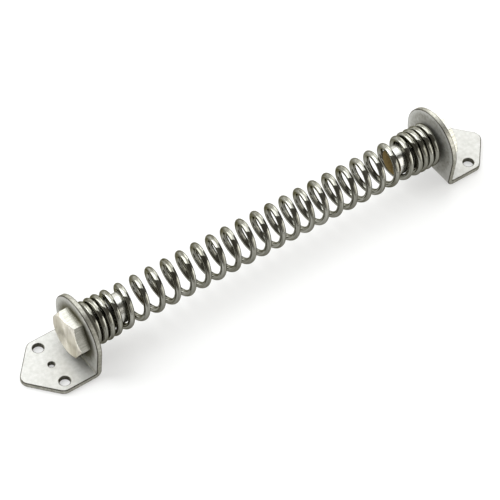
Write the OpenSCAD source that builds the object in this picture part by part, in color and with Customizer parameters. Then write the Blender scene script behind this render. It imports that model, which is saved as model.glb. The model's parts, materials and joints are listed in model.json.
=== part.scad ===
// Gate spring closer: a torsion spring between two folded brackets.
// X runs along the spring, Z is up and both brackets stand on Z = 0.
// The post bracket is at the -X end and the gate bracket at the +X end.

/* [Spring] */
// Distance between the inner faces of the two flanges
flange_span = 235; // [200:1:320]
// Outside diameter of the open turns
coil_d = 25; // [23:0.5:28]
// How much wider the close turns are than the open ones
close_swell = 1; // [0:0.1:2]
// Diameter of the spring wire
wire_d = 3.6; // [3:0.1:4.4]
// Number of wide turns in the middle of the spring
open_turns = 19.5; // [14:0.5:22]
// Number of close turns at each end
close_turns = 3.45; // [3:0.05:5]
// Turns over which the pitch changes from wide to close
ease_turns = 0.4; // [0.2:0.1:2]
// Gap between two close turns
turn_gap = 0.9; // [0.5:0.05:1.5]
// Gap between an end turn and its flange
end_gap = 0.7; // [0.6:0.1:1.2]
// Angle of the middle turn from straight up
middle_angle = -37; // [-180:1:180]
// Bend radius of the tangs at the wire's ends, along the middle of the wire
tang_bend_r = 3; // [2.5:0.1:5]

/* [Brackets] */
// Width of the base plates
plate_w = 38.5; // [32:0.5:46]
// Reach of a base plate from its flange's inner face to the rounded tip
plate_l = 38.2; // [34:0.1:48]
// Reach of the straight sides from the flange's inner face
side_l = 20.6; // [16:0.1:24]
// Radius of the three plate corners
corner_r = 5.5; // [3:0.1:7]
// Thickness of the bracket sheet
sheet_t = 3; // [2:0.1:4]
// Inner radius of the fold between plate and flange
fold_r = 1; // [0.5:0.1:3]
// How far the round flange stands out past the plate's sides
flange_swell = 1.3; // [0.5:0.1:2.5]
// Diameter of the two screw holes
screw_d = 6; // [4:0.1:6.5]
// Distance between the two screw holes
screw_pitch = 26.4; // [22:0.1:28]
// Reach of the holes from the flange's inner face
screw_reach = 19.5; // [18:0.1:22]
// Diameter of the pilot hole between the screw holes
pilot_d = 3.4; // [2:0.1:5]

/* [Hexagons and plugs] */
// Size of the hexagons across their flats
hex_af = 25.4; // [22:0.1:30]
// Thickness of the hexagons
hex_t = 6.8; // [5:0.1:9]
// Solid wall left between the neck's socket and the face of a hexagon
hex_wall = 2.4; // [1.5:0.1:3]
// Slope of the chamfer on the face of a hexagon
hex_chamfer = 30; // [20:1:40]
// Width of the chamfered ring inside the flats
hex_face_inset = 0.6; // [0.2:0.1:1]
// Height from the base plate to the nearest hexagon corner
spanner_room = 2.6; // [1:0.1:5]
// Length of a plug inside the spring
plug_l = 28; // [22:0.5:34]
// Gap between a plug and the inside of the open turns
plug_gap = 0.4; // [0.3:0.1:1.8]
// Chamfer round the free end of a plug
plug_chamfer = 0.8; // [0.3:0.1:1.5]
// Shoulder between a plug and its neck
neck_shoulder = 2.5; // [1:0.1:3]

/* [Clearances] */
// Radial clearance of a neck in its flange and its hexagon
neck_gap = 0.05; // [0.02:0.01:0.1]
// End float of a flange between its hexagon and its plug
end_float = 0.05; // [0.02:0.01:0.2]
// Gap round a tang in its plug's hole
tang_gap = 0.3; // [0.2:0.05:0.5]

/* [Hidden] */
$fn = 96;

steel = [0.76, 0.75, 0.72];
bright_steel = [0.84, 0.84, 0.83];
spring_steel = [0.62, 0.61, 0.58];
plated_brass = [0.72, 0.69, 0.62];

// Cuts run this far past the faces that they open
cut = 1;
half_span = flange_span / 2;
bend_r = sheet_t + fold_r;
half_w = plate_w / 2;
hex_ac = hex_af / cos(30);
axis_h = sheet_t + spanner_room + hex_ac / 2;
flange_r = half_w + flange_swell;
coil_r = (coil_d - wire_d) / 2;
plug_r = coil_d / 2 - wire_d - plug_gap;
neck_r = plug_r - neck_shoulder;
neck_in = hex_t - hex_wall;

// Middles of the corner arcs of a plate, and the outward direction of its pointed sides
shoulder_mid = [side_l, half_w - corner_r];
tip_mid = [plate_l - corner_r, 0];
slant = (tip_mid - shoulder_mid) / norm(tip_mid - shoulder_mid);
slant_out = [-slant.y, slant.x];

// Where the flange's straight sides meet its round top, as an angle below level
side_foot = [half_w, bend_r - axis_h];
tangent_angle = atan2(side_foot.y, side_foot.x) + acos(flange_r / norm(side_foot));

// The spring's turns are counted from its middle, v, to the half count at each end
half_open = open_turns / 2;
half_turns = half_open + ease_turns + close_turns;
close_pitch = wire_d + turn_gap;
last_turn_x = half_span - end_gap - wire_d / 2;
open_pitch = (last_turn_x - close_pitch * (close_turns + ease_turns / 2)) / (half_open + ease_turns / 2);
rings_a_turn = 12;
wire_sides = 6;
bend_steps = 4;
tang_l = wire_d;

function eased_x(e) = (open_pitch - (open_pitch - close_pitch) * e / (2 * ease_turns)) * e;
function turn_reach(a) =
    a < half_open ? open_pitch * a :
    a < half_open + ease_turns ? open_pitch * half_open + eased_x(a - half_open) :
    last_turn_x - close_pitch * (half_turns - a);
function turn_x(v) = sign(v) * turn_reach(abs(v));

// How far a turn has changed from an open one, 0, to a close one, 1
function closeness(v) = min(max((abs(v) - half_open) / ease_turns, 0), 1);
function turn_pitch(v) = open_pitch + (close_pitch - open_pitch) * closeness(v);
function turn_r(v) = coil_r + close_swell / 2 * closeness(v);

// The coil is left-handed: its angle about +X falls as X grows
function turn_angle(v) = 90 + middle_angle - 360 * v;
function outward(v) = [0, cos(turn_angle(v)), sin(turn_angle(v))];
function onward(v) = [0, sin(turn_angle(v)), -cos(turn_angle(v))];
function turn_point(v) = [turn_x(v), 0, axis_h] + turn_r(v) * outward(v);
function unit(p) = p / norm(p);

// A ring is [middle, direction of its first corner, direction across it]
function coil_ring(v) =
    let (along = unit([turn_pitch(v), 0, 0] + 2 * PI * turn_r(v) * onward(v)))
    [turn_point(v), outward(v), cross(along, outward(v))];
function bend_ring(end, b) =
    let (v = end * half_turns)
    let (lead = end * onward(v))
    let (first = outward(v) * cos(b) + lead * sin(b))
    [turn_point(v) + tang_bend_r * (first - outward(v)), first, [1, 0, 0]];
function tang_ring(end, reach) =
    let (v = end * half_turns)
    let (ring = bend_ring(end, 90))
    [ring[0] - reach * outward(v), ring[1], ring[2]];

coil_steps = ceil(2 * half_turns * rings_a_turn);
coil_rings = [for (i = [0 : coil_steps]) coil_ring(half_turns * (2 * i / coil_steps - 1))];
bend_angles = [for (i = [1 : bend_steps]) 90 * i / bend_steps];
spring_rings = concat(
    [tang_ring(-1, tang_l)],
    [for (i = [bend_steps - 1 : -1 : 0]) bend_ring(-1, bend_angles[i])],
    coil_rings,
    [for (b = bend_angles) bend_ring(1, b)],
    [tang_ring(1, tang_l)]
);

// Least gap between the wire and its next turn, measured from middle to middle
half_turn_rings = floor(rings_a_turn / 2);
spring_self_gap = min([
    for (i = [0 : coil_steps - half_turn_rings])
        for (j = [i + half_turn_rings : min(coil_steps, i + 3 * half_turn_rings)])
            norm(coil_rings[i][0] - coil_rings[j][0])
]) - wire_d;

// One tube through all rings, closed by a fan of triangles at each end
module tube(rings, r, sides) {
    last = len(rings) - 1;
    points = [
        for (ring = rings)
            for (k = [0 : sides - 1])
                ring[0] + r * (ring[1] * cos(360 * k / sides) + ring[2] * sin(360 * k / sides))
    ];
    walls = [
        for (i = [0 : last - 1])
            for (k = [0 : sides - 1])
                let (a = i * sides + k)
                let (b = i * sides + (k + 1) % sides)
                each [[a, b, b + sides], [a, b + sides, a + sides]]
    ];
    start_fan = [for (k = [1 : sides - 2]) [0, k + 1, k]];
    end_fan = [for (k = [1 : sides - 2]) [last * sides, last * sides + k, last * sides + k + 1]];
    polyhedron(points, concat(walls, start_fan, end_fan));
}

// Turns a flat shape, drawn in Y and Z, into a solid that starts at X = 0
module along_x(length) {
    rotate([90, 0, 90]) linear_extrude(length) children();
}

module plate_outline() {
    shoulder_end = shoulder_mid + corner_r * slant_out;
    tip_start = tip_mid + corner_r * slant_out;
    polygon([
        [bend_r, -half_w], [side_l, -half_w],
        [shoulder_end.x, -shoulder_end.y], [tip_start.x, -tip_start.y],
        tip_start, shoulder_end,
        [side_l, half_w], [bend_r, half_w]
    ]);
    translate(tip_mid) circle(corner_r);
    for (s = [-1, 1]) translate([shoulder_mid.x, s * shoulder_mid.y]) circle(corner_r);
}

module flange_outline() {
    side_top = flange_r * [cos(tangent_angle), sin(tangent_angle)];
    intersection() {
        translate([0, axis_h]) union() {
            circle(flange_r);
            polygon([
                [-side_foot.x, side_foot.y], side_foot,
                side_top, [-side_top.x, side_top.y]
            ]);
        }
        translate([-flange_r, bend_r]) square([2 * flange_r, axis_h + flange_r]);
    }
}

// Plate and flange folded from one sheet, with the flange's inner face at X = 0
module bracket() {
    difference() {
        union() {
            linear_extrude(sheet_t) plate_outline();
            along_x(sheet_t) flange_outline();
            translate([bend_r, half_w, bend_r])
                rotate([90, 0, 0])
                    rotate([0, 0, 180])
                        linear_extrude(plate_w) fold_section();
        }
        translate([-cut, 0, axis_h])
            rotate([0, 90, 0]) cylinder(h = sheet_t + 2 * cut, r = neck_r + neck_gap);
        for (s = [-1, 1])
            translate([screw_reach, s * screw_pitch / 2, -cut])
                cylinder(h = sheet_t + 2 * cut, d = screw_d);
        translate([screw_reach, 0, -cut]) cylinder(h = sheet_t + 2 * cut, d = pilot_d);
    }
}

// Quarter ring between plate and flange
module fold_section() {
    intersection() {
        difference() {
            circle(bend_r);
            circle(fold_r);
        }
        square(bend_r);
    }
}

// Chamfered hexagon with flats up and down and a blind socket, seated at X = 0
module hexagon() {
    face_r = hex_af / 2 - hex_face_inset;
    chamfer_h = (hex_ac / 2 - face_r) * tan(hex_chamfer);
    difference() {
        intersection() {
            along_x(hex_t) circle(d = hex_ac, $fn = 6);
            rotate([90, 0, 90]) rotate_extrude() polygon([
                [0, 0], [hex_ac / 2 + cut, 0],
                [hex_ac / 2 + cut, hex_t - chamfer_h - cut * tan(hex_chamfer)],
                [face_r, hex_t], [0, hex_t]
            ]);
        }
        translate([-cut, 0, 0])
            rotate([0, 90, 0]) cylinder(h = neck_in + cut, r = neck_r + neck_gap);
    }
}

// Turned plug with a neck, where X = 0 is the flange's inner face
module plug_turning() {
    neck_end = sheet_t + neck_in;
    rotate([90, 0, 90]) rotate_extrude() polygon([
        [0, -plug_l], [plug_r - plug_chamfer, -plug_l], [plug_r, -plug_l + plug_chamfer],
        [plug_r, -end_float], [neck_r, -end_float], [neck_r, neck_end], [0, neck_end]
    ]);
}

// Blind hole that takes the wire's tang at one end of the spring
module tang_hole(end) {
    v = end * half_turns;
    tip = tang_ring(end, tang_l + tang_gap)[0];
    translate(tip) rotate([turn_angle(v) - 90, 0, 0])
        cylinder(h = turn_r(v) + cut, d = wire_d + 2 * tang_gap);
}

module spring_plug(end) {
    difference() {
        place(end) translate([0, 0, axis_h]) plug_turning();
        tang_hole(end);
    }
}

// Puts a piece that is drawn for the gate end at either end of the spring
module place(end) {
    if (end > 0) translate([half_span, 0, 0]) children();
    else mirror([1, 0, 0]) translate([half_span, 0, 0]) children();
}

module post_bracket() {
    color(steel) place(-1) bracket();
}

module gate_bracket() {
    color(steel) place(1) bracket();
}

module post_hexagon() {
    color(bright_steel) place(-1) translate([sheet_t + end_float, 0, axis_h]) hexagon();
}

module gate_hexagon() {
    color(bright_steel) place(1) translate([sheet_t + end_float, 0, axis_h]) hexagon();
}

module post_spring_plug() {
    color(plated_brass) spring_plug(-1);
}

module gate_spring_plug() {
    color(plated_brass) spring_plug(1);
}

module torsion_spring() {
    echo("Least gap between turns of the spring, mm", spring_self_gap);
    color(spring_steel) tube(spring_rings, wire_d / 2, wire_sides);
}

post_bracket();
post_hexagon();
post_spring_plug();
torsion_spring();
gate_spring_plug();
gate_hexagon();
gate_bracket();
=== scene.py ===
import json
from math import acos, atan2, copysign, cos, pi, radians, sin, tan

import bmesh
import bpy
from bpy.props import FloatProperty, FloatVectorProperty, IntProperty, PointerProperty
from mathutils import Matrix, Vector


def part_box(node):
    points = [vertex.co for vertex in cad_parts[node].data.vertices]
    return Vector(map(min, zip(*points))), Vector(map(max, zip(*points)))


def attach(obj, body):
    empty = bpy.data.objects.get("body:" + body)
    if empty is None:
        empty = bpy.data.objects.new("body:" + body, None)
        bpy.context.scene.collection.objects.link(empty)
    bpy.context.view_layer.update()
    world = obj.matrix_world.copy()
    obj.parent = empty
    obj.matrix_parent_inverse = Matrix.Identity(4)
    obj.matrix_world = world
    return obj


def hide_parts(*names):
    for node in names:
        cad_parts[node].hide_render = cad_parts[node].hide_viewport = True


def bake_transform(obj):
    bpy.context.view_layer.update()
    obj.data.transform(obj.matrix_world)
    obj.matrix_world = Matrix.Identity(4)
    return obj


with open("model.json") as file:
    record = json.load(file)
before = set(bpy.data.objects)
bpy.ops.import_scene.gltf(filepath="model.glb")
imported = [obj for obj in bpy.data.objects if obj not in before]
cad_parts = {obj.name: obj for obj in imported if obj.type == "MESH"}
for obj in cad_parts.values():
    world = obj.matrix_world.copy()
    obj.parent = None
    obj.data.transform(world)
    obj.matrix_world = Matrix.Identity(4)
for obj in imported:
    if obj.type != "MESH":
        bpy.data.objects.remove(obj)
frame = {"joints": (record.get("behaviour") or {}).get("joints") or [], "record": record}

bl_info = {
    "name": "Gate Spring Closer",
    "version": (1, 0, 0),
    "blender": (4, 5, 0),
    "location": "View3D > Sidebar > Gate Closer",
    "description": "Models a gate spring closer: a torsion spring between two folded brackets",
    "category": "Add Mesh",
}

MM = 0.001
X_AXIS = Vector((1, 0, 0))
Z_AXIS = Vector((0, 0, 1))

# The two ends of the closer: the sign of X that each one lies on, by name
ENDS = {"post": -1, "gate": 1}

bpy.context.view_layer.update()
MOUNTS = {mount["name"]: mount for mount in frame["record"]["mounts"]}
AXIS_HEIGHT = frame["joints"][0]["pos_m"][2]
HALF_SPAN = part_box("gate_bracket")[0].x
SCREW_PLACE = Vector(MOUNTS["gate_screws"]["pos_m"])
SHEET = MOUNTS["gate_pilot"]["dims"]["length_mm"] * MM
HEX_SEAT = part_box("gate_hexagon")[0].x - HALF_SPAN
HEX_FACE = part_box("gate_hexagon")[1].x - HALF_SPAN
PLUG_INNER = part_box("gate_spring_plug")[0].x - HALF_SPAN
PLUG_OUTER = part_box("gate_spring_plug")[1].x - HALF_SPAN

# Points closer than this are one, and a point this near to a wall lies on it
MERGE = 0.001 * MM
ON_WALL = 0.01 * MM
# Faces within the first angle of a direction look that way, and edges past the second are sharp
FACING = radians(5)
SHARP = radians(20)
# The metals darken by this tint where they are seen along their surface
EDGE_TINT = (0.3, 0.29, 0.24, 1.0)


def length(name, description, default):
    """A size in metres that the sidebar shows with its unit."""
    return FloatProperty(
        name=name, description=description, default=default, min=0.0,
        unit="LENGTH", subtype="DISTANCE", precision=5,
    )


def angle(name, description, degrees):
    """An angle that is written in degrees and kept in radians."""
    return FloatProperty(
        name=name, description=description, default=radians(degrees),
        unit="ROTATION", subtype="ANGLE",
    )


def turns(name, description, default):
    """A number of turns of the wire."""
    return FloatProperty(name=name, description=description, default=default, min=0.0)


def count(name, description, default):
    """A number of segments."""
    return IntProperty(name=name, description=description, default=default, min=3)


def colour(name, description, default):
    """A linear colour."""
    return FloatVectorProperty(
        name=name, description=description, default=default, size=3, min=0.0, max=1.0,
        subtype="COLOR",
    )


class SpringSettings(bpy.types.PropertyGroup):
    """Sizes of the torsion spring."""

    coil_diameter: length("Coil Diameter", "Outside diameter of the open turns", 25 * MM)
    close_swell: length("Close Swell", "How much wider the close turns are", 1 * MM)
    wire_diameter: length("Wire Diameter", "Diameter of the round wire", 3.6 * MM)
    open_turns: turns("Open Turns", "Wide turns, counted between the middles of the easings", 20.1)
    post_ease: turns("Post Ease", "Turns over which the pitch changes at the post end", 1.86)
    gate_ease: turns("Gate Ease", "Turns over which the pitch changes at the gate end", 0.4)
    post_close_turns: turns("Post Close Turns", "Turns past the middle of the post's easing", 3.58)
    gate_close_turns: turns("Gate Close Turns", "Turns past the middle of the gate's easing", 3.97)
    post_turn_gap: length("Post Turn Gap", "Gap between two close turns at the post end", 0.67 * MM)
    gate_turn_gap: length("Gate Turn Gap", "Gap between two close turns at the gate end", 0.45 * MM)
    end_gap: length("End Gap", "Gap between an end turn and its flange", 0.7 * MM)
    middle_angle: angle("Middle Angle", "Angle of the middle turn from straight up", -37)
    tang_bend: length("Tang Bend", "Bend radius of the tangs at the wire's ends", 3 * MM)
    tang_length: length("Tang Length", "Straight length of a tang inside its plug", 3.6 * MM)
    turn_steps: count("Turn Steps", "Rings of vertices in a turn", 64)
    wire_sides: count("Wire Sides", "Vertices round the wire", 24)


class BracketSettings(bpy.types.PropertyGroup):
    """Sizes of the two folded brackets."""

    width: length("Width", "Width of the base plate", 38.5 * MM)
    reach: length("Reach", "Flange's inner face to the plate's rounded tip", 38.2 * MM)
    side_reach: length("Side Reach", "Flange's inner face to the end of the straight sides", 20.6 * MM)
    corner: length("Corner", "Radius of the three plate corners", 5.5 * MM)
    sheet: length("Sheet", "Thickness of the sheet", SHEET)
    fold: length("Fold", "Inner radius of the fold", 1 * MM)
    swell: length("Swell", "How far the round flange stands out past the plate", 1.3 * MM)
    edge: length("Edge", "Rounding of the sheet's rims", 0.5 * MM)
    arc_steps: count("Arc Steps", "Segments round a hole; the flange has twice as many", 48)
    fold_steps: count("Fold Steps", "Segments in the fold", 14)


class HexagonSettings(bpy.types.PropertyGroup):
    """Sizes of the two hexagons."""

    flats: length("Across Flats", "Size across two flats", 25.4 * MM)
    chamfer: angle("Chamfer", "Slope of the chamfer on the face", 30)
    face_inset: length("Face Inset", "Width of the chamfered ring inside the flats", 0.6 * MM)
    edge: length("Edge", "Rounding of the edges", 0.18 * MM)
    side_steps: count("Side Steps", "Segments along a flat", 14)


class PlugSettings(bpy.types.PropertyGroup):
    """Sizes of the two plugs inside the spring."""

    diameter: length("Diameter", "Diameter of the barrel", 17 * MM)
    neck: length("Neck", "Diameter of the neck that turns in the flange", 12 * MM)
    chamfer: length("Chamfer", "Chamfer round the free end", 0.8 * MM)
    edge: length("Edge", "Rounding of the edges", 0.15 * MM)
    clearance: length("Clearance", "Radial room of the neck in its flange", 0.05 * MM)
    tang_room: length("Tang Room", "Room round the tang in its hole", 0.3 * MM)
    steps: count("Steps", "Segments round the barrel", 96)


class FinishSettings(bpy.types.PropertyGroup):
    """Colours of the finishes."""

    wire_light: colour("Wire, Light", "Bright drawn wire", (0.34, 0.338, 0.304))
    wire_dark: colour("Wire, Dark", "Drawing film left on the wire", (0.13, 0.126, 0.1))
    sheet_light: colour("Sheet, Light", "Tumbled stainless sheet", (0.59, 0.588, 0.568))
    sheet_dark: colour("Sheet, Dark", "Duller patches of the sheet", (0.505, 0.502, 0.477))
    # Painted shade: the colour that the fold's crease and the flange round the bore are darkened to
    sheet_painted_shade: colour("Sheet, Painted Shade", "Painted shade in the fold and round the bore", (0.125, 0.117, 0.082))
    shear_light: colour("Shear, Light", "Sheared edges of the sheet", (0.47, 0.463, 0.415))
    shear_dark: colour("Shear, Dark", "Rough marks on the sheared edges", (0.24, 0.234, 0.2))
    # Painted shade: the hole walls and the rounded rims of the sheet are painted dark, with tear marks
    rim_painted_shade: colour("Hole, Light", "Hole walls and rims of the sheet", (0.15, 0.145, 0.125))
    rim_painted_shade_dark: colour("Hole, Dark", "Tear marks in the holes", (0.06, 0.057, 0.047))
    bar_light: colour("Bar, Light", "Ground flats of the hexagons", (0.52, 0.515, 0.47))
    bar_dark: colour("Bar, Dark", "Grinding lines of the hexagons", (0.36, 0.354, 0.31))
    face_light: colour("Face, Light", "Turned faces of the hexagons", (0.98, 0.945, 0.87))
    face_dark: colour("Face, Dark", "Turning marks of the hexagons", (0.73, 0.685, 0.595))
    plating: colour("Plating", "Bright plated barrel of the plugs", (0.6, 0.6, 0.572))
    plating_dull: colour("Plating, Dull", "Duller patches of the plating", (0.48, 0.478, 0.448))
    bare_end: colour("Bare End", "Bare brown end of the plugs", (0.24, 0.185, 0.105))
    bare_end_dark: colour("Bare End, Dark", "Turning marks on the bare end", (0.14, 0.105, 0.058))
    paper: colour("Paper", "Floor under the object", (0.88, 0.88, 0.87))


class StageSettings(bpy.types.PropertyGroup):
    """The camera's place and the levels of the light."""

    azimuth: angle("Azimuth", "Direction that the camera looks from, turned from -Y", -37.00)
    elevation: angle("Elevation", "Height of the camera above the horizon", 50.35)
    roll: angle("Roll", "Turn of the camera about its line of sight", 1.95)
    distance: length("Distance", "Camera to the point that it looks at", 1255.71 * MM)
    lens: FloatProperty(name="Lens", description="Focal length in millimetres", default=164.74)
    look_at: FloatVectorProperty(
        name="Look At", description="Point at the middle of the view", size=3,
        default=(-8.84 * MM, -1.55 * MM, 12.13 * MM), subtype="TRANSLATION", unit="LENGTH",
    )
    floor_radius: length("Floor Radius", "Radius of the flat paper", 3.5)
    floor_lip: length("Floor Lip", "Radius of the lip that ends the paper all round", 0.5)
    room_tint: colour("Room Tint", "Colour of the dim room", (1.0, 0.96, 0.85))
    room_level: FloatProperty(name="Room Level", description="Radiance of the dim room", default=0.18)
    paper_glow: FloatProperty(
        name="Paper Glow", description="How far the floor is lifted to white", default=0.5
    )


class CloserSettings(bpy.types.PropertyGroup):
    """All settings of the closer, by group."""

    spring: PointerProperty(type=SpringSettings)
    bracket: PointerProperty(type=BracketSettings)
    hexagon: PointerProperty(type=HexagonSettings)
    plug: PointerProperty(type=PlugSettings)
    finish: PointerProperty(type=FinishSettings)
    stage: PointerProperty(type=StageSettings)


# Material nodes


def add_node(tree, kind, **inputs):
    """Add a node and set its unlinked inputs, whose names are written with underscores."""
    node = tree.nodes.new(kind)
    for name, value in inputs.items():
        node.inputs[name.replace("_", " ")].default_value = value
    return node


def new_metal(name):
    """A metal material, its node tree and its shader."""
    material = bpy.data.materials.new(name)
    material.use_nodes = True
    tree = material.node_tree
    shader = tree.nodes["Principled BSDF"]
    shader.inputs["Metallic"].default_value = 1.0
    shader.inputs["Specular Tint"].default_value = EDGE_TINT
    return material, tree, shader


def object_place(tree):
    """Where a point lies in its object's own coordinates."""
    return tree.nodes.new("ShaderNodeTexCoord").outputs["Object"]


def mapped(tree, vector, **inputs):
    """A vector that is moved or stretched."""
    node = add_node(tree, "ShaderNodeMapping", **inputs)
    tree.links.new(vector, node.inputs["Vector"])
    return node.outputs["Vector"]


def coordinates(tree, scale, attribute=None):
    """Object coordinates, or a piece's own attribute, stretched by scale."""
    if not attribute:
        return mapped(tree, object_place(tree), Scale=scale)
    source = tree.nodes.new("ShaderNodeAttribute")
    source.attribute_name = attribute
    return mapped(tree, source.outputs["Vector"], Scale=scale)


def noise(tree, vector, scale, detail=3.0, roughness=0.5):
    """A noise texture's grey value."""
    texture = add_node(
        tree, "ShaderNodeTexNoise", Scale=scale, Detail=detail, Roughness=roughness
    )
    tree.links.new(vector, texture.inputs["Vector"])
    return texture.outputs["Fac"]


def ramp(tree, value, stops):
    """Colours that change with a value: a list of each stop's value and colour, lowest first."""
    node = tree.nodes.new("ShaderNodeValToRGB")
    elements = node.color_ramp.elements
    while len(elements) < len(stops):
        elements.new(1.0)
    for element, (position, stop_colour) in zip(elements, stops):
        element.position = position
        element.color = (*stop_colour, 1.0)
    tree.links.new(value, node.inputs["Fac"])
    return node.outputs["Color"]


def two_values(tree, operation, first, second):
    """A value worked out from two others."""
    node = tree.nodes.new("ShaderNodeMath")
    node.operation = operation
    tree.links.new(first, node.inputs[0])
    tree.links.new(second, node.inputs[1])
    return node.outputs["Value"]


def one_vector(tree, operation, vector):
    """A node that works on one vector."""
    node = tree.nodes.new("ShaderNodeVectorMath")
    node.operation = operation
    tree.links.new(vector, node.inputs[0])
    return node


def clear_of(tree, place, axes, near, far, lowest=0.0):
    """A value that rises to 1 with the distance from a place, alike at both ends of the closer.

    The distance is taken along the axes that are 1 and left out along those that are 0.
    """
    mirrored = one_vector(tree, "ABSOLUTE", object_place(tree)).outputs["Vector"]
    offset = mapped(tree, mirrored, Location=-Vector(place) * Vector(axes), Scale=axes)
    distance = one_vector(tree, "LENGTH", offset).outputs["Value"]
    node = add_node(tree, "ShaderNodeMapRange", From_Min=near, From_Max=far, To_Min=lowest, To_Max=1.0)
    node.interpolation_type = "SMOOTHSTEP"
    tree.links.new(distance, node.inputs["Value"])
    return node.outputs["Result"]


def away_from_axis(tree):
    """The direction straight out from the spring's axis, which turning marks run across."""
    outward = mapped(tree, object_place(tree), Location=(0, 0, -AXIS_HEIGHT), Scale=(0, 1, 1))
    turned = tree.nodes.new("ShaderNodeVectorTransform")
    turned.vector_type = "VECTOR"
    turned.convert_from = "OBJECT"
    turned.convert_to = "WORLD"
    tree.links.new(outward, turned.inputs["Vector"])
    return turned.outputs["Vector"]


def spread(tree, value, start, end):
    """The middle half of a grey value, spread from start to end."""
    node = add_node(tree, "ShaderNodeMapRange", From_Min=0.25, From_Max=0.75, To_Min=start, To_Max=end)
    tree.links.new(value, node.inputs["Value"])
    return node.outputs["Result"]


def bump(tree, height, depth, strength):
    """A normal that is tilted by a grey value as height."""
    node = add_node(tree, "ShaderNodeBump", Distance=depth, Strength=strength)
    tree.links.new(height, node.inputs["Height"])
    return node.outputs["Normal"]


def dress(tree, shader, colours, roughness, relief):
    """Join a metal's colours, roughness and fine relief to its shader."""
    tree.links.new(colours, shader.inputs["Base Color"])
    tree.links.new(roughness, shader.inputs["Roughness"])
    tree.links.new(relief, shader.inputs["Normal"])


# Finishes


def drawn_wire(finish):
    """Bright spring wire with fine lines along its length and a faint drawing film."""
    material, tree, shader = new_metal("drawn_wire")
    lines = noise(tree, coordinates(tree, (1, 1, 0.02), "straight"), scale=2600, detail=4)
    film = noise(tree, coordinates(tree, (1, 1, 0.04), "straight"), scale=1000, detail=5, roughness=0.6)
    dress(
        tree, shader,
        colours=ramp(tree, film, [(0.32, finish.wire_dark), (0.66, finish.wire_light)]),
        roughness=spread(tree, lines, start=0.05, end=0.11),
        relief=bump(tree, lines, depth=0.01 * MM, strength=0.15),
    )
    return material


def tumbled_sheet(finish):
    """Matt stainless sheet, tumbled all over, with painted shade in the fold's crease and on the flange
    round the bore, where the hexagon and the coil shade it.
    """
    material, tree, shader = new_metal("tumbled_sheet")
    vector = coordinates(tree, (1, 1, 1))
    patches = noise(tree, vector, scale=420, detail=8, roughness=0.7)
    grain = noise(tree, vector, scale=2400, detail=3)
    flange = (HALF_SPAN + SHEET, 0, SHEET)
    # Painted shade: the crease of the fold and the flange round the bore, where the hexagon and the
    # coil shade it, are darkened towards the shade colour; only the plate clear of the flange keeps its
    # own tone
    plate = clear_of(tree, flange, (1, 0, 0), near=0.5 * MM, far=6 * MM)
    bore = clear_of(tree, (0, 0, AXIS_HEIGHT), (0, 1, 1), near=12.5 * MM, far=23 * MM)
    crease = clear_of(tree, flange, (1, 0, 1), near=0.2 * MM, far=1.5 * MM, lowest=0.1)
    unshaded = two_values(tree, "MULTIPLY", two_values(tree, "MAXIMUM", plate, bore), crease)
    stops = [(0.0, finish.sheet_painted_shade), (0.32, finish.sheet_dark), (0.68, finish.sheet_light)]
    dress(
        tree, shader,
        colours=ramp(tree, two_values(tree, "MULTIPLY", patches, unshaded), stops),
        roughness=spread(tree, patches, start=0.7, end=0.6),
        relief=bump(tree, grain, depth=0.03 * MM, strength=0.2),
    )
    return material


def sheared_edge(finish):
    """Sheared edge of the sheet, duller than its faces."""
    material, tree, shader = new_metal("sheared_edge")
    marks = noise(tree, coordinates(tree, (1, 1, 1)), scale=700, detail=5, roughness=0.6)
    dress(
        tree, shader,
        colours=ramp(tree, marks, [(0.3, finish.shear_dark), (0.7, finish.shear_light)]),
        roughness=spread(tree, marks, start=0.48, end=0.36),
        relief=bump(tree, marks, depth=0.04 * MM, strength=0.3),
    )
    return material


def rim_and_hole_painted_shade(finish):
    """Wall of a punched hole, torn along the punch's way, and the rounded rims of the sheet, painted
    dark: painted shade inside the holes and a painted dark outline along the rims.
    """
    material, tree, shader = new_metal("rim_and_hole_painted_shade")
    tears = noise(tree, coordinates(tree, (1, 1, 0.15)), scale=1800, detail=4)
    dress(
        tree, shader,
        colours=ramp(tree, tears, [(0.3, finish.rim_painted_shade_dark), (0.7, finish.rim_painted_shade)]),
        roughness=spread(tree, tears, start=0.55, end=0.42),
        relief=bump(tree, tears, depth=0.04 * MM, strength=0.4),
    )
    return material


def ground_bar(finish):
    """Hexagon bar with straight grinding lines."""
    material, tree, shader = new_metal("ground_bar")
    lines = noise(tree, coordinates(tree, (0.06, 1, 0.5)), scale=2200, detail=4)
    patches = noise(tree, coordinates(tree, (1, 1, 1)), scale=160, detail=5)
    dress(
        tree, shader,
        colours=ramp(tree, lines, [(0.3, finish.bar_dark), (0.7, finish.bar_light)]),
        roughness=spread(tree, patches, start=0.18, end=0.28),
        relief=bump(tree, lines, depth=0.03 * MM, strength=0.2),
    )
    return material


def turned_face(finish):
    """Face of a hexagon with fine marks that run round the spring's axis and scratches across it."""
    material, tree, shader = new_metal("turned_face")
    shader.inputs["Anisotropic"].default_value = 0.85
    tree.links.new(away_from_axis(tree), shader.inputs["Tangent"])
    rings = noise(tree, coordinates(tree, (1, 1, 1), "turned"), scale=2400, detail=3)
    scratches = noise(tree, coordinates(tree, (1, 1, 0.08)), scale=1100, detail=6, roughness=0.65)
    dress(
        tree, shader,
        colours=ramp(tree, scratches, [(0.34, finish.face_dark), (0.66, finish.face_light)]),
        roughness=spread(tree, scratches, start=0.34, end=0.26),
        relief=bump(tree, rings, depth=0.02 * MM, strength=0.25),
    )
    return material


def bright_plating(finish):
    """Bright plated turning with marks round its axis."""
    material, tree, shader = new_metal("bright_plating")
    rings = noise(tree, coordinates(tree, (1, 0.04, 0.04)), scale=2600, detail=3)
    patches = noise(tree, coordinates(tree, (1, 1, 1)), scale=240, detail=5)
    dress(
        tree, shader,
        colours=ramp(tree, patches, [(0.3, finish.plating_dull), (0.7, finish.plating)]),
        roughness=spread(tree, rings, start=0.2, end=0.28),
        relief=bump(tree, rings, depth=0.02 * MM, strength=0.2),
    )
    return material


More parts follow.
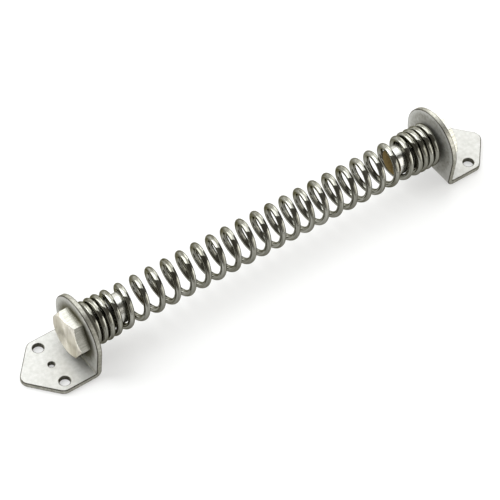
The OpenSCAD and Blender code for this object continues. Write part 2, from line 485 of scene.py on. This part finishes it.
def bare_brass(finish):
    """Dull brown brass on the cut end of a plug."""
    material, tree, shader = new_metal("bare_brass")
    marks = noise(tree, coordinates(tree, (1, 1, 1)), scale=900, detail=6, roughness=0.65)
    dress(
        tree, shader,
        colours=ramp(tree, marks, [(0.3, finish.bare_end_dark), (0.7, finish.bare_end)]),
        roughness=spread(tree, marks, start=0.42, end=0.3),
        relief=bump(tree, marks, depth=0.03 * MM, strength=0.3),
    )
    return material


def white_paper(finish, glow):
    """Floor paper that keeps the shadow and is lifted to white for the eye and for reflections."""
    material = bpy.data.materials.new("white_paper")
    material.use_nodes = True
    tree = material.node_tree
    tree.nodes.clear()
    output = tree.nodes.new("ShaderNodeOutputMaterial")
    mix = tree.nodes.new("ShaderNodeMixShader")
    diffuse = add_node(tree, "ShaderNodeBsdfDiffuse", Color=(*finish.paper, 1.0))
    white = add_node(tree, "ShaderNodeEmission", Color=(1.0, 1.0, 1.0, 1.0), Strength=1.0)
    path = tree.nodes.new("ShaderNodeLightPath")
    seen = path.outputs["Is Camera Ray"]
    for kind in ("Is Glossy Ray", "Is Transmission Ray"):
        seen = two_values(tree, "MAXIMUM", seen, path.outputs[kind])
    share = tree.nodes.new("ShaderNodeMath")
    share.operation = "MULTIPLY"
    share.inputs[1].default_value = glow
    tree.links.new(seen, share.inputs[0])
    tree.links.new(share.outputs["Value"], mix.inputs["Fac"])
    tree.links.new(diffuse.outputs["BSDF"], mix.inputs[1])
    tree.links.new(white.outputs["Emission"], mix.inputs[2])
    tree.links.new(mix.outputs["Shader"], output.inputs["Surface"])
    return material


# Pieces


def new_object(name, bm, materials):
    """Make an object from a bmesh, with smooth shading and its materials."""
    mesh = bpy.data.meshes.new(name)
    bm.to_mesh(mesh)
    bm.free()
    mesh.shade_smooth()
    for material in materials:
        mesh.materials.append(material)
    piece = bpy.data.objects.new(name, mesh)
    bpy.context.scene.collection.objects.link(piece)
    return piece


def flat_faces(piece):
    """Let large flat faces set the normals along their rounded edges."""
    weighted = piece.modifiers.new("Flat Faces", "WEIGHTED_NORMAL")
    weighted.mode = "FACE_AREA"
    weighted.weight = 100


def to_end(bm, end):
    """Move a piece that is drawn from a flange's inner face at X = 0 to its end of the closer."""
    bmesh.ops.translate(bm, verts=bm.verts[:], vec=HALF_SPAN * X_AXIS)
    if end < 0:
        bmesh.ops.scale(bm, verts=bm.verts[:], vec=(-1, 1, 1))
    bmesh.ops.recalc_face_normals(bm, faces=bm.faces[:])


def stand_for_node(piece, node, body):
    """Ride on a body in the place of a CAD node."""
    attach(piece, body)
    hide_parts(node)


# Spring


class Winding:
    """Where the wire runs: its turns are counted from the middle of the spring."""

    def __init__(self, spring):
        self.wire = spring.wire_diameter / 2
        self.coil = spring.coil_diameter / 2 - self.wire
        self.swell = spring.close_swell / 2
        self.half_open = spring.open_turns / 2
        self.ease = {-1: spring.post_ease, 1: spring.gate_ease}
        self.close_turns = {-1: spring.post_close_turns, 1: spring.gate_close_turns}
        self.turn_gap = {-1: spring.post_turn_gap, 1: spring.gate_turn_gap}
        self.middle_angle = spring.middle_angle
        self.last_x = HALF_SPAN - spring.end_gap - self.wire
        self.bend = spring.tang_bend
        self.turn_length = 2 * pi * self.coil
        self.bend_length = self.bend * pi / 2
        self.tang_length = spring.tang_length

    def last_turn(self, way):
        """The turn where the coil ends: at the post if way is negative, else at the gate."""
        return copysign(self.half_open + self.close_turns[copysign(1, way)], way)

    def half_length(self, way):
        """Length of the wire from the spring's middle to the tip of a tang."""
        return abs(self.last_turn(way)) * self.turn_length + self.bend_length + self.tang_length

    def close_pitch(self, way):
        """How far the wire moves on in a close turn."""
        return 2 * self.wire + self.turn_gap[copysign(1, way)]

    def open_pitch(self, way):
        """How far the wire moves on in an open turn: these fill what the close turns leave."""
        close_length = self.close_pitch(way) * self.close_turns[copysign(1, way)]
        return (self.last_x - close_length) / self.half_open

    def turn_x(self, turn):
        """Place along the spring: even in the open turns, easing, then even in the close turns."""
        count = abs(turn)
        ease = self.ease[copysign(1, turn)]
        close_pitch, open_pitch = self.close_pitch(turn), self.open_pitch(turn)
        eased = self.closeness(turn) * ease
        slower = (open_pitch - close_pitch) * eased**2 / (2 * ease)
        reach = open_pitch * min(count, self.half_open + ease / 2) - slower
        reach += close_pitch * max(count - self.half_open - ease / 2, 0.0)
        return copysign(reach, turn)

    def closeness(self, turn):
        """How far a turn has changed from an open one, 0, to a close one, 1."""
        ease = self.ease[copysign(1, turn)]
        return min(max((abs(turn) - self.half_open) / ease + 0.5, 0.0), 1.0)

    def pitch(self, turn):
        """How far the wire moves on in one turn."""
        close_pitch, open_pitch = self.close_pitch(turn), self.open_pitch(turn)
        return open_pitch + (close_pitch - open_pitch) * self.closeness(turn)

    def radius(self, turn):
        """From the spring's axis to the middle of the wire."""
        return self.coil + self.swell * self.closeness(turn)

    def outward(self, turn):
        """From the spring's axis to the wire. The coil is left-handed."""
        place = pi / 2 + self.middle_angle - 2 * pi * turn
        return Vector((0, cos(place), sin(place)))

    def onward(self, turn):
        """The way that the wire runs round the axis."""
        return self.outward(turn).cross(X_AXIS)

    def point(self, turn):
        """Middle of the wire."""
        return Vector((self.turn_x(turn), 0, AXIS_HEIGHT)) + self.radius(turn) * self.outward(turn)

    def section(self, run):
        """Middle, first and second direction of the wire's section at a length from its middle."""
        past_coil = abs(run) - abs(self.last_turn(run)) * self.turn_length
        if past_coil <= 0:
            turn = run / self.turn_length
            outward = self.outward(turn)
            along = 2 * pi * self.radius(turn) * self.onward(turn) + self.pitch(turn) * X_AXIS
            return self.point(turn), outward, along.normalized().cross(outward)
        turn = self.last_turn(run)
        outward = self.outward(turn)
        onward = copysign(1, run) * self.onward(turn)
        bent = min(past_coil / self.bend, pi / 2)
        first = cos(bent) * outward + sin(bent) * onward
        tang = max(past_coil - self.bend_length, 0.0)
        return self.point(turn) + self.bend * (first - outward) - tang * outward, first, X_AXIS


def verts_of(geometry):
    """The vertices among the elements that an operator returns."""
    return [element for element in geometry if isinstance(element, bmesh.types.BMVert)]


def wind_wire(spring):
    """Draw the wire out straight, then wind it into one unbroken coil with a tang at each end."""
    winding = Winding(spring)
    post_length, gate_length = winding.half_length(-1), winding.half_length(1)
    bm = bmesh.new()
    straight = bm.verts.layers.float_vector.new("straight")
    middle_place = Matrix.Translation((gate_length - post_length) / 2 * Z_AXIS)
    bmesh.ops.create_cone(
        bm, cap_ends=True, segments=spring.wire_sides, radius1=winding.wire, radius2=winding.wire,
        depth=post_length + gate_length, matrix=middle_place,
    )
    drawn = [edge for edge in bm.edges if edge.calc_length() > gate_length]
    rings = round((winding.last_turn(1) - winding.last_turn(-1)) * spring.turn_steps)
    bmesh.ops.subdivide_edges(bm, edges=drawn, cuts=rings)
    for vert in bm.verts:
        vert[straight] = vert.co
        middle, first, second = winding.section(vert.co.z)
        vert.co = middle + vert.co.x * first + vert.co.y * second
    bmesh.ops.recalc_face_normals(bm, faces=bm.faces[:])
    return bm


# Brackets


def draw_arc(bm, centre, radius, start, sweep, steps):
    """Draw an arc on the flat sheet by spinning one point, and return its two ends."""
    first = bm.verts.new(centre + radius * Vector((cos(start), sin(start), 0)))
    spun = bmesh.ops.spin(
        bm, geom=[first], cent=centre, axis=Z_AXIS, angle=sweep, steps=steps, use_merge=False
    )
    return first, verts_of(spun["geom_last"])[0]


class Blank:
    """The flat sheet before it is folded: the plate towards +X and the flange towards -X."""

    def __init__(self, bracket):
        self.half_width = bracket.width / 2
        self.outer_fold = bracket.sheet + bracket.fold
        self.fold_length = pi / 2 * (bracket.fold + bracket.sheet / 2)
        self.fold_start = self.outer_fold - self.fold_length
        self.flange_radius = self.half_width + bracket.swell
        self.bore = Vector((self.fold_start - (AXIS_HEIGHT - self.outer_fold), 0, 0))

    def folded(self, point):
        """Where a point of the flat sheet lies after the flange is folded up."""
        if point.x >= self.outer_fold:
            return point.copy()
        if point.x <= self.fold_start:
            return Vector((point.z, point.y, self.outer_fold + self.fold_start - point.x))
        bend = pi / 2 * (self.outer_fold - point.x) / self.fold_length
        radius = self.outer_fold - point.z
        inward, downward = radius * sin(bend), radius * cos(bend)
        return Vector((self.outer_fold - inward, point.y, self.outer_fold - downward))


def draw_blank(bm, bracket, blank):
    """Draw the outline of the flat sheet: a pointed plate and a round flange."""
    steps = bracket.arc_steps
    tip = Vector((bracket.reach - bracket.corner, 0, 0))
    shoulder = Vector((bracket.side_reach, blank.half_width - bracket.corner, 0))
    slant = tip - shoulder
    slant_out = atan2(slant.x, -slant.y)
    foot = Vector((blank.half_width, blank.outer_fold - AXIS_HEIGHT))
    tangent = atan2(foot.y, foot.x) + acos(blank.flange_radius / foot.length)
    near_shoulder = Vector((shoulder.x, -shoulder.y, 0))
    corner_steps = steps // 4
    far_foot = bm.verts.new((blank.fold_start, blank.half_width, 0))
    near_foot = bm.verts.new((blank.fold_start, -blank.half_width, 0))
    stretches = [
        draw_arc(bm, tip, bracket.corner, -slant_out, 2 * slant_out, 2 * corner_steps),
        draw_arc(bm, shoulder, bracket.corner, slant_out, pi / 2 - slant_out, corner_steps),
        (far_foot, far_foot),
        draw_arc(bm, blank.bore, blank.flange_radius, pi / 2 + tangent, pi - 2 * tangent, 2 * steps),
        (near_foot, near_foot),
        draw_arc(bm, near_shoulder, bracket.corner, -pi / 2, pi / 2 - slant_out, corner_steps),
    ]
    for here, following in zip(stretches, stretches[1:] + stretches[:1]):
        bm.edges.new((here[1], following[0]))


def draw_holes(bm, bracket, plug, blank):
    """Draw the bore of the neck, the two screw holes and the pilot hole, and return them."""
    screw_dims = MOUNTS["gate_screws"]["dims"]
    row = Vector((SCREW_PLACE.x - HALF_SPAN, 0, 0))
    half_pitch = Vector((0, screw_dims["spacing_y_mm"] * MM / 2, 0))
    screw_radius = screw_dims["hole_r_mm"] * MM
    holes = [
        (blank.bore, plug.neck / 2 + plug.clearance),
        (row + half_pitch, screw_radius),
        (row - half_pitch, screw_radius),
        (row, MOUNTS["gate_pilot"]["dims"]["r_mm"] * MM),
    ]
    for centre, radius in holes:
        bmesh.ops.create_circle(
            bm, segments=bracket.arc_steps, radius=radius, matrix=Matrix.Translation(centre)
        )
    return holes


def is_in_hole(edge, holes):
    """Whether an edge of the flat sheet lies on a hole's wall."""
    middle = (edge.verts[0].co + edge.verts[1].co).xy / 2
    return any((middle - centre.xy).length < radius + ON_WALL for centre, radius in holes)


def round_rims(bm, rounding, steps=4):
    """Round all rims of the flat sheet: its top and bottom are drawn in as they rise."""
    for way in (1, -1):
        flat = [face for face in bm.faces if face.normal.z * way > 0.9]
        for step in range(steps):
            lower, upper = (pi / 2 * (step + share) / steps for share in (0, 1))
            bmesh.ops.inset_region(
                bm, faces=flat, thickness=rounding * (cos(lower) - cos(upper)),
                depth=rounding * (sin(upper) - sin(lower)), use_boundary=True, use_even_offset=True,
            )


def fold_bracket(bracket, plug):
    """Stamp the flat sheet, round its edges and fold the flange up."""
    blank = Blank(bracket)
    bm = bmesh.new()
    draw_blank(bm, bracket, blank)
    holes = draw_holes(bm, bracket, plug, blank)
    bmesh.ops.triangle_fill(bm, use_beauty=True, edges=bm.edges[:], normal=Z_AXIS)
    raised = bmesh.ops.extrude_face_region(bm, geom=bm.faces[:])["geom"]
    bmesh.ops.translate(bm, verts=verts_of(raised), vec=(bracket.sheet - 2 * bracket.edge) * Z_AXIS)
    bmesh.ops.translate(bm, verts=bm.verts[:], vec=bracket.edge * Z_AXIS)
    bmesh.ops.recalc_face_normals(bm, faces=bm.faces[:])
    round_rims(bm, bracket.edge)
    bm.normal_update()
    # Hole walls and the rims' roundings take material 1, painted dark as shade inside the holes and as
    # a dark outline along the rims; the other walls take the sheared edge
    for face in bm.faces:
        if abs(face.normal.z) < sin(FACING):
            face.material_index = 1 if all(is_in_hole(edge, holes) for edge in face.edges) else 2
        elif abs(face.normal.z) < cos(FACING):
            face.material_index = 1
    for cut in range(bracket.fold_steps + 1):
        place = blank.fold_start + blank.fold_length * cut / bracket.fold_steps
        bmesh.ops.bisect_plane(
            bm, geom=bm.verts[:] + bm.edges[:] + bm.faces[:], dist=MERGE,
            plane_co=place * X_AXIS, plane_no=X_AXIS,
        )
    for vert in bm.verts:
        vert.co = blank.folded(vert.co)
    return bm


# Hexagons and plugs


def break_edges(bm, width):
    """Round the sharp edges of a turned or ground piece."""
    sharp = [edge for edge in bm.edges if edge.calc_face_angle() > SHARP]
    bmesh.ops.bevel(
        bm, geom=sharp, offset=width, offset_type="OFFSET", segments=2, profile=0.5,
        affect="EDGES", material=-1, clamp_overlap=True,
    )


def shape_hexagon(hexagon):
    """Hexagon with flats up and down whose face is chamfered round a circle."""
    bm = bmesh.new()
    thickness = HEX_FACE - HEX_SEAT
    face_radius = hexagon.flats / 2 - hexagon.face_inset
    corner_radius = hexagon.flats / 2 / cos(pi / 6)
    flats_up = Matrix.Rotation(pi / 6, 4, "Z")
    bmesh.ops.create_circle(bm, cap_ends=True, segments=6, radius=corner_radius, matrix=flats_up)
    bmesh.ops.subdivide_edges(bm, edges=bm.edges[:], cuts=hexagon.side_steps - 1, use_grid_fill=False)
    side = bmesh.ops.extrude_face_region(bm, geom=bm.faces[:])["geom"]
    bmesh.ops.translate(bm, verts=verts_of(side), vec=thickness * Z_AXIS)
    cap = [element for element in side if isinstance(element, bmesh.types.BMFace)]
    bmesh.ops.inset_individual(bm, faces=cap, thickness=hexagon.face_inset)
    for vert in cap[0].verts:
        vert.co.xy = vert.co.xy.normalized() * face_radius
    for vert in verts_of(side):
        vert.co.z -= (vert.co.xy.length - face_radius) * tan(hexagon.chamfer)
    bmesh.ops.recalc_face_normals(bm, faces=bm.faces[:])
    break_edges(bm, hexagon.edge)
    lay_along_x = Matrix(((0, 0, 1, 0), (1, 0, 0, 0), (0, 1, 0, 0), (0, 0, 0, 1)))
    bmesh.ops.transform(bm, matrix=lay_along_x, verts=bm.verts[:])
    turned = bm.verts.layers.float_vector.new("turned")
    for vert in bm.verts:
        vert[turned] = (vert.co.yz.length, 0, 0)
    for face in bm.faces:
        if face.normal.x > cos(hexagon.chamfer + FACING):
            face.material_index = 1
    bmesh.ops.translate(bm, verts=bm.verts[:], vec=(HEX_SEAT, 0, AXIS_HEIGHT))
    return bm


def turn_plug(plug):
    """Turned plug: a barrel inside the spring and a neck that passes through the flange."""
    bm = bmesh.new()
    barrel, neck = plug.diameter / 2, plug.neck / 2
    shoulder = -plug.clearance
    profile = [
        (PLUG_INNER, 0), (PLUG_INNER, barrel - plug.chamfer), (PLUG_INNER + plug.chamfer, barrel),
        (shoulder, barrel), (shoulder, neck), (PLUG_OUTER, neck), (PLUG_OUTER, 0),
    ]
    points = [bm.verts.new((x, 0, AXIS_HEIGHT + radius)) for x, radius in profile]
    for here, following in zip(points, points[1:]):
        bm.edges.new((here, following))
    bmesh.ops.spin(
        bm, geom=bm.verts[:] + bm.edges[:], cent=(0, 0, AXIS_HEIGHT), axis=X_AXIS, angle=2 * pi,
        steps=plug.steps, use_merge=True,
    )
    bmesh.ops.remove_doubles(bm, verts=bm.verts[:], dist=MERGE)
    bmesh.ops.recalc_face_normals(bm, faces=bm.faces[:])
    break_edges(bm, plug.edge)
    for face in bm.faces:
        if face.calc_center_median().x < PLUG_INNER + plug.chamfer / 2:
            face.material_index = 1
    return bm


def drill_tang_hole(piece, winding, spring, plug, end):
    """Cut the blind hole that takes the wire's tang, and leave no drill behind."""
    turn = winding.last_turn(end)
    outward, onward = winding.outward(turn), winding.onward(turn)
    depth = spring.tang_length + plug.tang_room
    radius = winding.wire + plug.tang_room
    foot = winding.point(turn) - spring.tang_bend * outward + end * spring.tang_bend * onward
    middle = foot + (winding.coil - depth) / 2 * outward
    bm = bmesh.new()
    place = Matrix.Translation(middle) @ outward.to_track_quat("Z", "X").to_matrix().to_4x4()
    bmesh.ops.create_cone(
        bm, cap_ends=True, segments=32, radius1=radius, radius2=radius,
        depth=depth + winding.coil, matrix=place,
    )
    drill = new_object("tang_drill", bm, [])
    cut = piece.modifiers.new("Drill", "BOOLEAN")
    cut.object = drill
    cut.operation = "DIFFERENCE"
    cut.solver = "EXACT"
    graph = bpy.context.evaluated_depsgraph_get()
    piece.data = bpy.data.meshes.new_from_object(piece.evaluated_get(graph))
    piece.modifiers.remove(cut)
    bpy.data.objects.remove(drill)


class CLOSER_OT_wind_spring(bpy.types.Operator):
    """Wind the torsion spring from tang to tang"""

    bl_idname = "gate_closer.wind_spring"
    bl_label = "Wind Spring"

    def execute(self, context):
        settings = context.scene.gate_closer
        piece = new_object("wound_spring", wind_wire(settings.spring), [drawn_wire(settings.finish)])
        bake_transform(piece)
        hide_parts("torsion_spring")
        return {"FINISHED"}


class CLOSER_OT_fold_brackets(bpy.types.Operator):
    """Stamp and fold the post bracket and the gate bracket"""

    bl_idname = "gate_closer.fold_brackets"
    bl_label = "Fold Brackets"

    def execute(self, context):
        settings = context.scene.gate_closer
        finish = settings.finish
        metals = [tumbled_sheet(finish), rim_and_hole_painted_shade(finish), sheared_edge(finish)]
        for name, end in ENDS.items():
            bm = fold_bracket(settings.bracket, settings.plug)
            to_end(bm, end)
            piece = new_object(f"{name}_folded_bracket", bm, metals)
            flat_faces(piece)
            stand_for_node(piece, f"{name}_bracket", f"{name}_bracket")
        return {"FINISHED"}


class CLOSER_OT_shape_hexagons(bpy.types.Operator):
    """Shape the hexagon at each end"""

    bl_idname = "gate_closer.shape_hexagons"
    bl_label = "Shape Hexagons"

    def execute(self, context):
        settings = context.scene.gate_closer
        metals = [ground_bar(settings.finish), turned_face(settings.finish)]
        for name, end in ENDS.items():
            bm = shape_hexagon(settings.hexagon)
            to_end(bm, end)
            piece = new_object(f"{name}_ground_hexagon", bm, metals)
            flat_faces(piece)
            stand_for_node(piece, f"{name}_hexagon", f"{name}_spindle")
        return {"FINISHED"}


class CLOSER_OT_turn_plugs(bpy.types.Operator):
    """Turn the plug inside each end of the spring"""

    bl_idname = "gate_closer.turn_plugs"
    bl_label = "Turn Plugs"

    def execute(self, context):
        settings = context.scene.gate_closer
        metals = [bright_plating(settings.finish), bare_brass(settings.finish)]
        winding = Winding(settings.spring)
        for name, end in ENDS.items():
            bm = turn_plug(settings.plug)
            to_end(bm, end)
            piece = new_object(f"{name}_turned_plug", bm, metals)
            drill_tang_hole(piece, winding, settings.spring, settings.plug, end)
            flat_faces(piece)
            stand_for_node(piece, f"{name}_spring_plug", f"{name}_spindle")
        return {"FINISHED"}


# Stage

# Softboxes round the object, which leave the left open: the azimuth of the middle, the width and the
# lowest and highest edge in degrees, then the distance in metres, the level and the tint
SOFTBOXES = {
    "far_left_softbox": ((137, 34, 0, 62), 1.3, 4.9, (0.98, 1.0, 1.02)),
    "far_top_softbox": ((76, 60, 36, 90), 1.3, 2.2, (0.98, 1.0, 1.02)),
    "far_low_softbox": ((88, 64, 0, 36), 1.3, 1.3, (1.0, 1.0, 0.98)),
    "far_right_softbox": ((37, 30, 0, 40), 1.3, 3.5, (0.99, 1.0, 1.0)),
    "near_softbox": ((261, 44, 5, 50), 1.3, 0.55, (1.0, 0.99, 0.93)),
    "near_right_softbox": ((307, 34, 0, 44), 0.6, 2.1, (1.0, 0.99, 0.95)),
    "right_near_softbox": ((334, 20, 0, 28), 0.6, 2.8, (1.0, 0.99, 0.95)),
}


def add_camera(stage):
    """A long lens at the photograph's angle."""
    back = Vector((
        sin(stage.azimuth) * cos(stage.elevation),
        -cos(stage.azimuth) * cos(stage.elevation),
        sin(stage.elevation),
    ))
    level = Z_AXIS.cross(back).normalized()
    upright = back.cross(level)
    right = cos(stage.roll) * level + sin(stage.roll) * upright
    up = cos(stage.roll) * upright - sin(stage.roll) * level
    data = bpy.data.cameras.new("camera")
    data.lens = stage.lens
    data.sensor_width = 36
    camera = bpy.data.objects.new("camera", data)
    turn = Matrix((right, up, back)).transposed().to_4x4()
    camera.matrix_world = Matrix.Translation(Vector(stage.look_at) + back * stage.distance) @ turn
    bpy.context.scene.collection.objects.link(camera)
    bpy.context.scene.camera = camera


def add_softbox(name, window, distance, level, tint):
    """A flat softbox that fills a window of directions: middle, width, lowest and highest edge."""
    azimuth, width, low, high = (radians(edge) for edge in window)
    elevation = (low + high) / 2
    toward = Vector((
        cos(azimuth) * cos(elevation), sin(azimuth) * cos(elevation), sin(elevation),
    ))
    data = bpy.data.lights.new(name, "AREA")
    data.shape = "RECTANGLE"
    data.size = 2 * distance * tan(width / 2)
    data.size_y = 2 * distance * tan((high - low) / 2)
    data.energy = level * pi * data.size * data.size_y
    data.color = tint
    lamp = bpy.data.objects.new(name, data)
    turn = toward.to_track_quat("Z", "Y").to_matrix().to_4x4()
    lamp.matrix_world = Matrix.Translation(toward * distance) @ turn
    lamp.visible_camera = False
    bpy.context.scene.collection.objects.link(lamp)


def add_floor(stage, finish):
    """A wide sheet of paper under the object, with a lip at its far edge all round."""
    bm = bmesh.new()
    middle = bm.verts.new((0, 0, 0))
    edge = bm.verts.new((stage.floor_radius, 0, 0))
    bm.edges.new((middle, edge))
    bmesh.ops.spin(
        bm, geom=[edge], cent=(stage.floor_radius, 0, stage.floor_lip), axis=(0, -1, 0), angle=pi / 2,
        steps=12, use_merge=False,
    )
    bmesh.ops.spin(
        bm, geom=bm.verts[:] + bm.edges[:], cent=(0, 0, 0), axis=Z_AXIS, angle=2 * pi, steps=96,
        use_merge=True,
    )
    bmesh.ops.remove_doubles(bm, verts=bm.verts[:], dist=MERGE)
    bmesh.ops.recalc_face_normals(bm, faces=bm.faces[:])
    floor = new_object("floor", bm, [white_paper(finish, stage.paper_glow)])


def add_room(stage):
    """A dim room round the softboxes."""
    world = bpy.data.worlds.new("room")
    world.use_nodes = True
    background = world.node_tree.nodes["Background"]
    background.inputs["Color"].default_value = (*stage.room_tint, 1.0)
    background.inputs["Strength"].default_value = stage.room_level
    bpy.context.scene.world = world


class CLOSER_OT_set_stage(bpy.types.Operator):
    """Set the floor, the lights and the camera"""

    bl_idname = "gate_closer.set_stage"
    bl_label = "Set Stage"

    def execute(self, context):
        settings = context.scene.gate_closer
        stage = settings.stage
        add_camera(stage)
        add_floor(stage, settings.finish)
        add_room(stage)
        for name, softbox in SOFTBOXES.items():
            add_softbox(name, *softbox)
        context.scene.view_settings.view_transform = "Standard"
        return {"FINISHED"}


class CLOSER_PT_sidebar(bpy.types.Panel):
    """Operators and settings of the closer"""

    bl_idname = "CLOSER_PT_sidebar"
    bl_label = "Gate Closer"
    bl_space_type = "VIEW_3D"
    bl_region_type = "UI"
    bl_category = "Gate Closer"

    def draw(self, context):
        settings = context.scene.gate_closer
        for operator in OPERATORS:
            self.layout.operator(operator.bl_idname)
        for group in (
            settings.spring, settings.bracket, settings.hexagon, settings.plug, settings.finish,
            settings.stage,
        ):
            box = self.layout.box()
            for name in group.__annotations__:
                box.prop(group, name)


OPERATORS = (
    CLOSER_OT_wind_spring,
    CLOSER_OT_fold_brackets,
    CLOSER_OT_shape_hexagons,
    CLOSER_OT_turn_plugs,
    CLOSER_OT_set_stage,
)
CLASSES = (
    SpringSettings, BracketSettings, HexagonSettings, PlugSettings, FinishSettings, StageSettings,
    CloserSettings, *OPERATORS, CLOSER_PT_sidebar,
)


def register():
    for cls in CLASSES:
        bpy.utils.register_class(cls)
    bpy.types.Scene.gate_closer = PointerProperty(type=CloserSettings)


def unregister():
    del bpy.types.Scene.gate_closer
    for cls in reversed(CLASSES):
        bpy.utils.unregister_class(cls)


def main():
    register()
    bpy.ops.gate_closer.wind_spring()
    bpy.ops.gate_closer.fold_brackets()
    bpy.ops.gate_closer.shape_hexagons()
    bpy.ops.gate_closer.turn_plugs()
    bpy.ops.gate_closer.set_stage()


if __name__ == "__main__":
    main()
